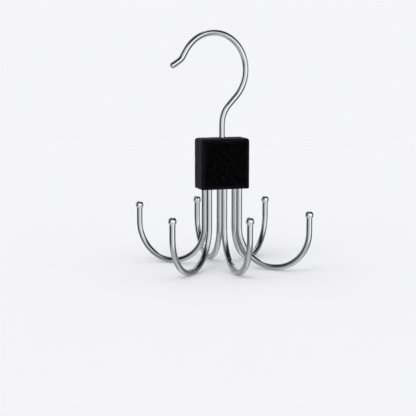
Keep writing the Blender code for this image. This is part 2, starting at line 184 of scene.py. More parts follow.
class CLOSETHOOK_PG_stage(bpy.types.PropertyGroup):
    """Floor, light and camera."""

    backdrop: colour_property("Backdrop", "Colour behind the object", "#f5f5f7")
    floor: colour_property("Floor", "Colour of the floor", "#f4f4f6")
    floor_radius: size_property("Floor radius", "Radius of the floor", 1.4)
    floor_plain: size_property("Floor plain", "Radius inside which the floor doesn't fade", 0.3)
    soft_level: FloatProperty(name="Soft light", description="Even light on matt surfaces",
                              default=0.87, min=0.0)
    key_level: FloatProperty(name="Key light", description="Strength of the soft lamp",
                             default=0.6, min=0.0)
    key_width: angle_property("Key width", "Angle that the soft lamp takes up", 40.0)
    pitch: angle_property("Pitch", "How far the camera looks down", 7.93)
    yaw: angle_property("Yaw", "Turn of the camera from the block's front", 17.83)
    distance: size_property("Distance", "From the lens to the block's underside", 778.7 * MM)
    shift_right: size_property("Right", "Block's underside right of the middle", 9.35 * MM)
    shift_up: size_property("Up", "Block's underside above the middle", 13.89 * MM)
    lens: FloatProperty(name="Lens", description="Focal length in millimetres on a 36 mm sensor",
                        default=100.28, min=10.0)


# What bright metal sees round it, in a dark room: two soft boxes beside the camera, a lit
# backdrop that comes up behind the object and over it, a table below, a wall and two strips.
# Each panel has a name, its span in azimuth from the camera, its span in elevation and the
# blur of its edges, all in degrees, and its level.
ROOM_LEVEL = 0.02
PANELS = (
    ("between the soft boxes", (-27, 60), (-27, 40), 19, 0.44),
    ("left soft box", (-50, 2), (-13, 53), 22, 0.57),
    ("right soft box", (12, 60), (-25, 38), 26, 0.90),
    ("backdrop, over the top", (145, 187), (-13, 92), 4, 1.00),
    ("backdrop, to the left", (190, 241), (-27, 72), 4, 0.39),
    ("table, all round", (-400, 400), (-150, -23), 36, 0.38),
    ("table, in front", (-76, 47), (-150, -20), 26, 0.23),
    ("table, right", (41, 200), (-150, -54), 24, 0.44),
    ("right wall", (43, 153), (-8, 13), 19, 0.25),
    ("right strip", (94, 124), (-13, 10), 4, 0.25),
    ("left strip", (-128, -106), (-7, 22), 14, 0.80),
)


# Small helpers for modelling

def clear_selection():
    """Leave edit mode and select nothing, so that the next operator acts on one piece only."""
    active = bpy.context.view_layer.objects.active
    if active is not None and active.mode != "OBJECT":
        bpy.ops.object.mode_set(mode="OBJECT")
    bpy.ops.object.select_all(action="DESELECT")


def take(piece):
    """Select the piece alone and make it the active one."""
    clear_selection()
    piece.select_set(True)
    bpy.context.view_layer.objects.active = piece


def begin(name):
    """Name the primitive that was just added, put its place into its mesh and edit it."""
    piece = bpy.context.object
    piece.name = name
    piece.data.name = name
    bpy.ops.object.transform_apply(location=True, rotation=True, scale=True)
    bpy.ops.object.mode_set(mode="EDIT")
    bpy.ops.mesh.select_all(action="SELECT")
    return piece


def pick_edges(piece, wanted):
    """Select the edges of the edited piece that a test wants."""
    bpy.ops.mesh.select_mode(type="EDGE")
    bpy.ops.mesh.select_all(action="DESELECT")
    shape = bmesh.from_edit_mesh(piece.data)
    found = [edge for edge in shape.edges if wanted(edge)]
    for edge in found:
        edge.select_set(True)
    shape.select_flush_mode()
    bmesh.update_edit_mesh(piece.data)
    if not found:
        raise RuntimeError(f"{piece.name}: nothing to select where an edge was expected")


def use_modifier(piece, kind, **settings):
    """Add a modifier to the piece and apply it."""
    take(piece)
    step = piece.modifiers.new(kind.title(), kind)
    for key, value in settings.items():
        setattr(step, key, value)
    bpy.ops.object.modifier_apply(modifier=step.name)


def combine(piece, tool, operation):
    """Cut the tool out of the piece, or join it on, and drop the tool."""
    use_modifier(piece, "BOOLEAN", operation=operation, solver="EXACT", object=tool)
    bpy.data.meshes.remove(tool.data)


def close_up(piece, sharp_degrees):
    """Weld the piece, face it outwards and shade it smooth where it is round."""
    take(piece)
    bpy.ops.object.mode_set(mode="EDIT")
    bpy.ops.mesh.select_all(action="SELECT")
    bpy.ops.mesh.remove_doubles(threshold=WELD)
    bpy.ops.mesh.normals_make_consistent(inside=False)
    bpy.ops.object.mode_set(mode="OBJECT")
    bpy.ops.object.transform_apply(location=True, rotation=True, scale=True)
    bpy.ops.object.shade_smooth_by_angle(angle=math.radians(sharp_degrees))


def copy_of(piece, name, matrix):
    """Copy the piece with a mesh of its own, and put the copy's place into that mesh."""
    take(piece)
    bpy.ops.object.duplicate(linked=False)
    made = bpy.context.object
    made.name = name
    made.data.name = name
    made.matrix_world = matrix @ made.matrix_world
    bpy.ops.object.transform_apply(location=True, rotation=True, scale=True)
    return made


def dress(piece, node, body, finish, proud=0.0, below=0.0):
    """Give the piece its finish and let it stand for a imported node, which it has to agree with.

    It may stand proud of the node on every side, and reach further down where that is meant.
    """
    low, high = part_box(node)
    corners = [vertex.co for vertex in piece.data.vertices]
    for axis in range(3):
        reach = (min(point[axis] for point in corners), max(point[axis] for point in corners))
        slack = PLACE_TOLERANCE + proud
        under = slack + below if axis == 2 else slack
        if abs(reach[0] - low[axis]) > under or abs(reach[1] - high[axis]) > slack:
            raise RuntimeError(f"{piece.name} isn't where {node} is: {reach}, {low}, {high}")
    piece.data.materials.clear()
    piece.data.materials.append(finish)
    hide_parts(node)
    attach(piece, body)


class WireForm:
    """A wire that grows from a disc, by extruding and spinning the face at its end."""

    def __init__(self, name, start, heading, normal, radius, settings):
        self.settings = settings
        self.point, self.heading = Vector(start), Vector(heading).normalized()
        self.normal = Vector(normal).normalized()
        self.length = 0.0
        self.rings = []
        side = self.normal.cross(self.heading)
        turn = Matrix((side, self.normal, self.heading)).transposed()
        clear_selection()
        bpy.ops.mesh.primitive_circle_add(vertices=settings.sides, radius=radius,
                                          fill_type="NGON", location=self.point,
                                          rotation=turn.to_euler())
        self.piece = begin(name)
        self.mark()

    def mark(self):
        """Note where the ring at the end is, for the pattern that follows the wire."""
        side = self.normal.cross(self.heading)
        self.rings.append((self.point.copy(), side, self.length))

    def feed(self, length, scale=(1.0, 1.0, 1.0)):
        """Run straight on, then scale the end face about its middle."""
        bpy.ops.mesh.extrude_region_move(TRANSFORM_OT_translate={"value": self.heading * length})
        self.point = self.point + self.heading * length
        self.length += length
        if scale != (1.0, 1.0, 1.0):
            self.resize(scale)
        self.mark()

    def run(self, length):
        """Run straight on, with a ring close to each end that keeps the shading straight too."""
        for part in (RING_HOLD, length - 2 * RING_HOLD, RING_HOLD):
            self.feed(part)

    def resize(self, scale):
        bpy.ops.transform.resize(value=scale, center_override=self.point)

    def bend(self, radius, angle):
        """Bend towards normal x heading, or away from it where the angle is negative."""
        steps = max(1, round(abs(angle) / self.settings.bend_step))
        centre = self.point + self.normal.cross(self.heading) * math.copysign(radius, angle)
        bpy.ops.mesh.spin(steps=steps, angle=-angle, center=centre, axis=self.normal)
        about = Matrix.Translation(centre)
        turn = about @ Matrix.Rotation(angle / steps, 4, self.normal) @ about.inverted()
        for _ in range(steps):
            self.point = turn @ self.point
            self.heading = turn.to_3x3() @ self.heading
            self.length += radius * abs(angle) / steps
            self.mark()

    def dome(self, height):
        """End in a flat dome, whose last ring stops just short of the middle."""
        rings, short_of_middle = 12, 0.35
        before = (0.0, 1.0)
        for index in range(1, rings + 1):
            angle = math.pi / 2 * index / (rings + short_of_middle)
            ahead, width = math.sin(angle), math.cos(angle)
            self.feed(height * (ahead - before[0]), (width / before[1],) * 3)
            before = (ahead, width)

    def finish(self):
        """Close the wire and write each point's place on the straight wire that it was bent from."""
        close_up(self.piece, 50.0)
        tree = KDTree(len(self.rings))
        for index, (point, _, _) in enumerate(self.rings):
            tree.insert(point, index)
        tree.balance()
        mesh = self.piece.data
        straight = mesh.attributes.new("straight_wire", "FLOAT_VECTOR", "POINT")
        for vertex in mesh.vertices:
            point, side, length = self.rings[tree.find(vertex.co)[1]]
            offset = vertex.co - point
            straight.data[vertex.index].vector = (offset.dot(side), offset.dot(self.normal), length)
        return self.piece


# Finishes

def add_node(tree, kind, settings=None, links=None):
    """Add a node, set its own settings or its inputs, and link the rest of its inputs."""
    node = tree.nodes.new(kind)
    for key, value in (settings or {}).items():
        if isinstance(key, str) and hasattr(node, key):
            setattr(node, key, value)
        else:
            node.inputs[key].default_value = value
    for key, source in (links or {}).items():
        tree.links.new(source, node.inputs[key])
    return node


def new_finish(name, **sockets):
    """Start a material with the values that are the same all over its surface."""
    made = bpy.data.materials.new(name)
    made.use_nodes = True
    shader = made.node_tree.nodes["Principled BSDF"]
    for key, value in sockets.items():
        shader.inputs[key.replace("_", " ")].default_value = value
    return made, made.node_tree, shader


def set_ramp(node, stops):
    """Set a colour ramp from (position, colour) stops."""
    elements = node.color_ramp.elements
    while len(elements) > len(stops):
        elements.remove(elements[-1])
    while len(elements) < len(stops):
        elements.new(1.0)
    for element, (position, colour) in zip(elements, stops):
        element.position = position
        element.color = colour
    return node


def shade(colour, factor):
    """Make a colour darker or lighter by a factor."""
    return tuple(factor * c for c in colour[:3]) + (1.0,)


def link_detail(tree, shader, tint, gloss, relief):
    """Give the shader the colour, roughness and bump that change over the surface."""
    for socket, source in (("Base Color", tint.outputs["Color"]),
                           ("Roughness", gloss.outputs["Result"]),
                           ("Normal", relief.outputs["Normal"])):
        tree.links.new(source, shader.inputs[socket])


def bright_chrome_on_wire(settings):
    """Chrome plating on drawn steel wire, buffed before it was plated.

    The eye sees a near-mirror. Faint lines from the drawing die run along the wire, and the
    plating's gloss drifts a little, as it does over a whole hook.
    """
    made, tree, shader = new_finish(WIRE_FINISH, Metallic=1.0)
    straight = add_node(tree, "ShaderNodeAttribute", {"attribute_name": "straight_wire"})
    # Die lines are about 0.02 mm apart. They are drawn 0.25 mm apart here, so that they can show,
    # and some 80 times as long as they are wide.
    stretched = add_node(tree, "ShaderNodeMapping", {"Scale": (1.0, 1.0, 0.012)},
                         {"Vector": straight.outputs["Vector"]})
    lines = add_node(tree, "ShaderNodeTexNoise", {"Scale": 1 / (0.25 * MM), "Detail": 3.0},
                     {"Vector": stretched.outputs["Vector"]})
    place = add_node(tree, "ShaderNodeTexCoord")
    drift = add_node(tree, "ShaderNodeTexNoise", {"Scale": 1 / (9.0 * MM), "Detail": 2.0},
                     {"Vector": place.outputs["Object"]})
    both = add_node(tree, "ShaderNodeMath", {"operation": "MULTIPLY_ADD", 1: 0.5},
                    {0: drift.outputs["Fac"], 2: lines.outputs["Fac"]})
    gloss = add_node(tree, "ShaderNodeMapRange",
                     {"From Min": 0.45, "From Max": 1.05, "To Min": settings.roughness * 0.75,
                      "To Max": settings.roughness * 1.35}, {"Value": both.outputs[0]})
    tint = set_ramp(add_node(tree, "ShaderNodeValToRGB", None, {"Fac": drift.outputs["Fac"]}),
                    [(0.30, shade(settings.colour, 0.965)), (0.70, tuple(settings.colour))])
    relief = add_node(tree, "ShaderNodeBump", {"Strength": 1.0, "Distance": 0.0006 * MM},
                      {"Height": lines.outputs["Fac"]})
    link_detail(tree, shader, tint, gloss, relief)
    return made


def polished_ball_steel(settings):
    """Steel ball, tumbled and chromed with its wire: the brightest and smoothest finish here.

    The eye sees a small sharp mirror with a trace of orange peel where it was welded on.
    """
    made, tree, shader = new_finish("polished_steel_ball", Metallic=1.0)
    place = add_node(tree, "ShaderNodeTexCoord")
    peel = add_node(tree, "ShaderNodeTexNoise", {"Scale": 1 / (0.9 * MM), "Detail": 2.0},
                    {"Vector": place.outputs["Object"]})
    haze = add_node(tree, "ShaderNodeTexNoise", {"Scale": 1 / (3.0 * MM), "Detail": 1.0},
                    {"Vector": place.outputs["Object"]})
    gloss = add_node(tree, "ShaderNodeMapRange",
                     {"From Min": 0.3, "From Max": 0.7, "To Min": 0.04, "To Max": 0.08},
                     {"Value": haze.outputs["Fac"]})
    tint = set_ramp(add_node(tree, "ShaderNodeValToRGB", None, {"Fac": haze.outputs["Fac"]}),
                    [(0.30, shade(settings.colour, 0.97)), (0.70, tuple(settings.colour))])
    relief = add_node(tree, "ShaderNodeBump", {"Strength": 1.0, "Distance": 0.003 * MM},
                      {"Height": peel.outputs["Fac"]})
    link_detail(tree, shader, tint, gloss, relief)
    return made


def black_flock(settings):
    """Nylon flock, short fibres shot upright into glue on an ABS shell.

    Straight on, the eye looks down between the fibres and sees nearly black. At a slant it sees
    their sides, so edges and slanting faces turn a soft grey, with patches where the pile leans.
    Close to an edge a lighter colour is painted in: a painted sheen, which stands for the light on
    the fibres' sides there.
    """
    made, tree, shader = new_finish("black_nylon_flock_on_abs", Roughness=1.0, Metallic=0.0,
                                    Sheen_Weight=0.42, Sheen_Roughness=0.33,
                                    Sheen_Tint=tuple(settings.sheen), Specular_IOR_Level=0.03)
    place = add_node(tree, "ShaderNodeTexCoord")
    # Flock fibres stand 0.05 mm apart. Their tufts are drawn 0.35 mm wide, so that they can show.
    tufts = add_node(tree, "ShaderNodeTexNoise", {"Scale": 1 / (0.35 * MM), "Detail": 4.0,
                                                  "Roughness": 0.65},
                     {"Vector": place.outputs["Object"]})
    lean = add_node(tree, "ShaderNodeTexNoise", {"Scale": 1 / (3.0 * MM), "Detail": 4.0,
                                                 "Roughness": 0.65},
                    {"Vector": place.outputs["Object"]})
    depth = add_node(tree, "ShaderNodeMath", {"operation": "MULTIPLY_ADD", 1: 0.6},
                     {0: tufts.outputs["Fac"], 2: lean.outputs["Fac"]})
    pile = set_ramp(add_node(tree, "ShaderNodeValToRGB", None, {"Fac": depth.outputs[0]}),
                    [(0.62, shade(settings.colour, 0.1)), (0.80, shade(settings.colour, 0.5)),
                     (1.00, shade(settings.colour, 3.5))])
    # Near the edges a lighter colour is mixed into the flock's own colour: a painted sheen.
    painted_edge_sheen = add_node(tree, "ShaderNodeAttribute", {"attribute_name": "painted_edge_sheen"})
    # Inputs 6 and 7 and output 2 are the colours of a mix node.
    shown = add_node(tree, "ShaderNodeMix", {"data_type": "RGBA", 7: tuple(settings.painted_edge_sheen)},
                     {0: painted_edge_sheen.outputs["Fac"], 6: pile.outputs["Color"]})
    relief = add_node(tree, "ShaderNodeBump", {"Strength": 1.0, "Distance": 0.15 * MM},
                      {"Height": tufts.outputs["Fac"]})
    tree.links.new(shown.outputs[2], shader.inputs["Base Color"])
    tree.links.new(relief.outputs["Normal"], shader.inputs["Normal"])
    return made


def moulded_nylon(name, colour, grain, roughness):
    """Injection-moulded nylon: satin, with the fine grain that a spark-eroded mould leaves."""
    drift = 0.06
    made, tree, shader = new_finish(name, Metallic=0.0, IOR=1.53)
    place = add_node(tree, "ShaderNodeTexCoord")
    speck = add_node(tree, "ShaderNodeTexNoise", {"Scale": 1 / grain, "Detail": 3.0},
                     {"Vector": place.outputs["Object"]})
    cloud = add_node(tree, "ShaderNodeTexNoise", {"Scale": 1 / (5.0 * MM), "Detail": 1.0},
                     {"Vector": place.outputs["Object"]})
    tint = set_ramp(add_node(tree, "ShaderNodeValToRGB", None, {"Fac": cloud.outputs["Fac"]}),
                    [(0.3, shade(colour, 0.9)), (0.7, tuple(colour))])
    gloss = add_node(tree, "ShaderNodeMapRange",
                     {"From Min": 0.3, "From Max": 0.7, "To Min": roughness - drift,
                      "To Max": roughness + drift}, {"Value": speck.outputs["Fac"]})
    relief = add_node(tree, "ShaderNodeBump", {"Strength": 0.5, "Distance": 0.02 * MM},
                      {"Height": speck.outputs["Fac"]})
    link_detail(tree, shader, tint, gloss, relief)
    return made


def zinc_plated_steel(settings):
    """Turned steel with clear zinc plating: a cool satin grey with spangled gloss."""
    made, tree, shader = new_finish("zinc_plated_steel", Metallic=1.0)
    place = add_node(tree, "ShaderNodeTexCoord")
    spangle = add_node(tree, "ShaderNodeTexVoronoi", {"Scale": 1 / (0.5 * MM)},
                       {"Vector": place.outputs["Object"]})
    blur = add_node(tree, "ShaderNodeTexNoise", {"Scale": 1 / (2.0 * MM), "Detail": 3.0},
                    {"Vector": place.outputs["Object"]})
    gloss = add_node(tree, "ShaderNodeMapRange", {"To Min": 0.26, "To Max": 0.42},
                     {"Value": spangle.outputs["Distance"]})
    tint = set_ramp(add_node(tree, "ShaderNodeValToRGB", None, {"Fac": blur.outputs["Fac"]}),
                    [(0.3, shade(settings.zinc, 0.8)), (0.7, tuple(settings.zinc))])
    relief = add_node(tree, "ShaderNodeBump", {"Strength": 0.4, "Distance": 0.01 * MM},
                      {"Height": blur.outputs["Fac"]})
    link_detail(tree, shader, tint, gloss, relief)
    return made


# The pieces

def tip_place(label):
    """Middle of a ball tip, seen from above."""
    low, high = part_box("ball_tip_" + label)
    return (low + high) / 2


class CLOSETHOOK_OT_j_hooks(bpy.types.Operator):
    """Bend the front row's three J-hooks and turn copies of them into the back row"""

    bl_idname = "closet_hook.j_hooks"
    bl_label = "J-Hooks"

    def execute(self, context):
        wire = context.scene.closet_hook_wire
        ball = context.scene.closet_hook_ball
        finish = bright_chrome_on_wire(wire)
        radius = wire.diameter / 2
        low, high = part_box("j_hook_front_middle")
        bend_radius = (high.y - low.y) / 2 - radius
        ball_low, ball_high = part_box("ball_tip_front_middle")
        arm_top = ball_high.z - (ball_high.x - ball_low.x) / 2 + ball.socket - SOCKET_GAP
        bend_height = low.z + radius + bend_radius
        flat = (wire.anchor_width / wire.diameter, wire.anchor_thickness / wire.diameter, 1.0)
        for column, side in COLUMNS.items():
            out = Vector((math.sin(side * wire.fan), -math.cos(side * wire.fan), 0.0))
            tip = tip_place("front_" + column)
            start = Vector((tip.x, tip.y, 0.0)) - out * 2 * bend_radius
            start.z = high.z
            form = WireForm("wire_front_" + column, start, (0.0, 0.0, -1.0),
                            (out.y, -out.x, 0.0), radius, wire)
            form.resize(flat)
            form.feed(wire.anchor_length)
            form.feed(wire.anchor_taper, (1 / flat[0], 1 / flat[1], 1.0))
            form.run(form.point.z - bend_height)
            form.bend(bend_radius, math.pi)
            form.run(arm_top - bend_height)
            piece = form.finish()
            label = "back_" + OPPOSITE[column]
            turned = copy_of(piece, "wire_" + label, Matrix.Rotation(math.pi, 4, "Z"))
            dress(piece, "j_hook_front_" + column, "block", finish)
            dress(turned, "j_hook_" + label, "block", finish)
        return {"FINISHED"}


class CLOSETHOOK_OT_ball_tips(bpy.types.Operator):
    """Model one ball with its neck and socket, and put a copy on each J-hook's tip"""

    bl_idname = "closet_hook.ball_tips"
    bl_label = "Ball Tips"

    def execute(self, context):
        wire = context.scene.closet_hook_wire
        ball = context.scene.closet_hook_ball
        finish = polished_ball_steel(ball)
        low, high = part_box("ball_tip_front_middle")
        ball_radius = (high.x - low.x) / 2
        centre_height = high.z - ball_radius
        bore = wire.diameter / 2 + ball.fit
        collar = bore + ball.lip
        # The neck's hollow touches the ball and the collar, so its centre follows from both.
        hollow = collar + ball.neck_radius
        drop = math.sqrt((ball_radius + ball.neck_radius) ** 2 - hollow ** 2)
        cut = -drop * ball_radius / (ball_radius + ball.neck_radius)
        clear_selection()
        bpy.ops.mesh.primitive_uv_sphere_add(segments=64, ring_count=48, radius=ball_radius)
        piece = begin("polished_tip")
        bpy.ops.mesh.bisect(plane_co=(0.0, 0.0, cut), plane_no=(0.0, 0.0, 1.0), clear_inner=True)
        pick_edges(piece, lambda edge: edge.is_boundary)
        width = math.sqrt(ball_radius ** 2 - cut ** 2)
        height = cut
        first = math.atan2(drop + cut, hollow - width)
        rings = 10
        angles = [first * (1 - index / rings) for index in range(1, rings + 1)]
        places = [(hollow - ball.neck_radius * math.cos(angle),
                   -drop + ball.neck_radius * math.sin(angle)) for angle in angles]
        places += [(bore, places[-1][1]), (bore, ball.socket)]
        for next_width, next_height in places:
            self.pull_ring(next_width / width, next_height - height, next_height)
            width, height = next_width, next_height
        bpy.ops.mesh.edge_face_add()
        close_up(piece, 60.0)
        for label in [f"{row}_{column}" for row in ROWS for column in COLUMNS]:
            tip = tip_place(label)
            place = Matrix.Translation((tip.x, tip.y, centre_height))
            dress(copy_of(piece, "polished_tip_" + label, place), "ball_tip_" + label, "block",
                  finish, below=NECK_REACH)
        bpy.data.meshes.remove(piece.data)
        return {"FINISHED"}

    @staticmethod
    def pull_ring(scale, move, height):
        """Extrude the open ring along the axis and scale it about the axis."""
        bpy.ops.mesh.extrude_edges_move(TRANSFORM_OT_translate={"value": (0.0, 0.0, move)})
        bpy.ops.transform.resize(value=(scale, scale, 1.0), center_override=(0.0, 0.0, height))


class CLOSETHOOK_OT_hanger(bpy.types.Operator):
    """Bend the hanger hook: peened end, neck, swan bend, crook and turned-out lip"""

    bl_idname = "closet_hook.hanger"
    bl_label = "Hanger Hook"

    def execute(self, context):
        wire = context.scene.closet_hook_wire
        hanger = context.scene.closet_hook_hanger
        radius = wire.diameter / 2
        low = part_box("hanger_hook")[0]
        block_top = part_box("block_cover")[1].z
        along = Vector((math.cos(hanger.turn), math.sin(hanger.turn), 0.0))
        form = WireForm("hanger_wire", (0.0, 0.0, low.z), (0.0, 0.0, 1.0),
                        (along.y, -along.x, 0.0), hanger.peen_radius, wire)
        form.feed(hanger.peen_height)
        shrink, shoulder = radius / hanger.peen_radius, 0.02 * MM
        form.feed(shoulder, (shrink, shrink, 1.0))
        form.run(block_top + hanger.neck_rise - form.point.z)
        form.bend(hanger.neck_radius, -hanger.neck_bend)
        form.run(hanger.neck_run)
        form.bend(hanger.crook_radius, hanger.crook_sweep)
        form.run(hanger.lip_run)
        form.bend(hanger.lip_radius, -hanger.lip_bend)
        form.run(hanger.lip_end - hanger.dome)
        form.dome(hanger.dome)
        finish = bpy.data.materials.get(WIRE_FINISH) or bright_chrome_on_wire(wire)
        dress(form.finish(), "hanger_hook", "hook", finish)
        return {"FINISHED"}


class CLOSETHOOK_OT_block_cover(bpy.types.Operator):
    """Model the flocked cover: a rounded box with a soft pile, hollowed out from below"""

    bl_idname = "closet_hook.block_cover"
    bl_label = "Flocked Cover"

    def execute(self, context):
        block = context.scene.closet_hook_block
        low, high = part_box("block_cover")
        pile_low = low - Vector((block.pile, block.pile, block.pile_below))
        pile_high = high + Vector((block.pile, block.pile, block.pile_above))
        middle = (pile_low + pile_high) / 2
        rim_top, square = low.z + 1.0 * MM, math.radians(60.0)
        clear_selection()
        bpy.ops.mesh.primitive_cube_add(size=1.0, location=middle, scale=pile_high - pile_low)
        piece = begin("flocked_cover")
        pick_edges(piece, lambda edge: any(v.co.z > middle.z for v in edge.verts))
        bpy.ops.mesh.bevel(offset=block.edge_round, offset_type="OFFSET", segments=12, profile=0.5)
        pick_edges(piece, lambda edge: all(v.co.z < rim_top for v in edge.verts)
                   and edge.calc_face_angle(0.0) > square)
        bpy.ops.mesh.bevel(offset=block.rim_round, offset_type="OFFSET", segments=3, profile=0.5)
        use_modifier(piece, "REMESH", mode="VOXEL", voxel_size=block.skin_grid,
                     use_smooth_shade=True)
        self.raise_pile(piece, block, low)
        self.hollow(piece, block, low, high)
        close_up(piece, 50.0)
        # Note how strongly the painted edge sheen shows at each point.
        self.paint_edge_sheen(piece, block, low, high)
        dress(piece, "block_cover", "block", black_flock(block), block.pile)
        return {"FINISHED"}

    @staticmethod
    def raise_pile(piece, block, low):
        """Move the skin in and out by slow waves and tufts, but for the flat lower rim."""
        full_height = 1.5 * MM
        skin = piece.vertex_groups.new(name="skin")
        for vertex in piece.data.vertices:
            weight = min(1.0, max(0.0, (vertex.co.z - low.z) / full_height))
            skin.add([vertex.index], weight, "REPLACE")
        for name, spacing, relief in (("pile_waves", block.wave_spacing, block.wave_relief),
                                      ("pile_tufts", block.tuft_spacing, block.tuft_relief)):
            pattern = bpy.data.textures.new(name, "CLOUDS")
            pattern.noise_scale = spacing
            pattern.noise_depth = 2
            use_modifier(piece, "DISPLACE", texture=pattern, texture_coords="LOCAL",
                         strength=relief, mid_level=0.5, vertex_group="skin")

    @staticmethod
    def hollow(piece, block, low, high):
        """Cut the cavity, add the bush's seat and the screw posts, and drill them."""
        # A tool goes the spare length past what it cuts or joins. The posts keep the gap to the
        # carrier, and their holes go that much further up than the screws.
        spare, gap = 1.0 * MM, 0.3 * MM
        roof_under = high.z - block.roof
        post_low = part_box("wire_carrier")[1].z + gap
        screw_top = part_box("carrier_screw_left")[1].z + gap
        posts = [(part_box("carrier_screw_" + side)[0].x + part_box("carrier_screw_" + side)[1].x) / 2
                 for side in ("left", "right")]
        clear_selection()
        cavity_low = Vector((low.x + block.wall, low.y + block.wall, low.z - spare))
        cavity_high = Vector((high.x - block.wall, high.y - block.wall, roof_under))
        bpy.ops.mesh.primitive_cube_add(size=1.0, location=(cavity_low + cavity_high) / 2,
                                        scale=cavity_high - cavity_low)
        combine(piece, bpy.context.object, "DIFFERENCE")
        rods = [("UNION", block.seat_radius, 0.0, roof_under - block.seat_depth,
                 roof_under + spare)]
        rods += [("UNION", block.post_radius, x, post_low, roof_under + spare) for x in posts]
        rods += [("DIFFERENCE", block.seat_bore, 0.0, roof_under - block.seat_depth - spare,
                  roof_under),
                 ("DIFFERENCE", block.wire_hole, 0.0, roof_under - spare, high.z + spare)]
        rods += [("DIFFERENCE", block.post_bore, x, post_low - spare, screw_top) for x in posts]
        for operation, radius, x, bottom, top in rods:
            clear_selection()
            bpy.ops.mesh.primitive_cylinder_add(vertices=48, radius=radius, depth=top - bottom,
                                                location=(x, 0.0, (top + bottom) / 2))
            combine(piece, bpy.context.object, operation)

    @staticmethod
    def paint_edge_sheen(piece, block, low, high):
        """Write how strongly the painted edge sheen shows: fully on an edge, and less and less
        further in.
        """
        painted_edge_sheen = piece.data.attributes.new("painted_edge_sheen", "FLOAT", "POINT")
        for vertex in piece.data.vertices:
            depths = sorted(min(vertex.co[axis] - low[axis], high[axis] - vertex.co[axis])
                            for axis in range(3))
            # The least depth is to the face that the point is on, the next one to its edge.
            share = 1.0 - max(0.0, depths[1]) / block.painted_sheen_width
            painted_edge_sheen.data[vertex.index].value = max(0.0, share) ** 2


class CLOSETHOOK_OT_inside(bpy.types.Operator):
    """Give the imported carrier, screws, bush, washer and collar their own finishes"""

    bl_idname = "closet_hook.inside"
    bl_label = "Inner Parts"

    def execute(self, context):
        inside = context.scene.closet_hook_inside
        black = moulded_nylon("moulded_black_nylon", inside.black_nylon, grain=0.3 * MM,
                              roughness=0.48)
        white = moulded_nylon("moulded_white_nylon", inside.white_nylon, grain=0.4 * MM,
                              roughness=0.40)
        zinc = zinc_plated_steel(inside)
        finishes = {"wire_carrier": black, "swivel_bush": white, "thrust_washer": zinc,
                    "swivel_collar": zinc, "carrier_screw_left": zinc,
                    "carrier_screw_right": zinc}
        for node, finish in finishes.items():
            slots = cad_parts[node].data.materials
            slots.clear()
            slots.append(finish)
        return {"FINISHED"}


# Stage

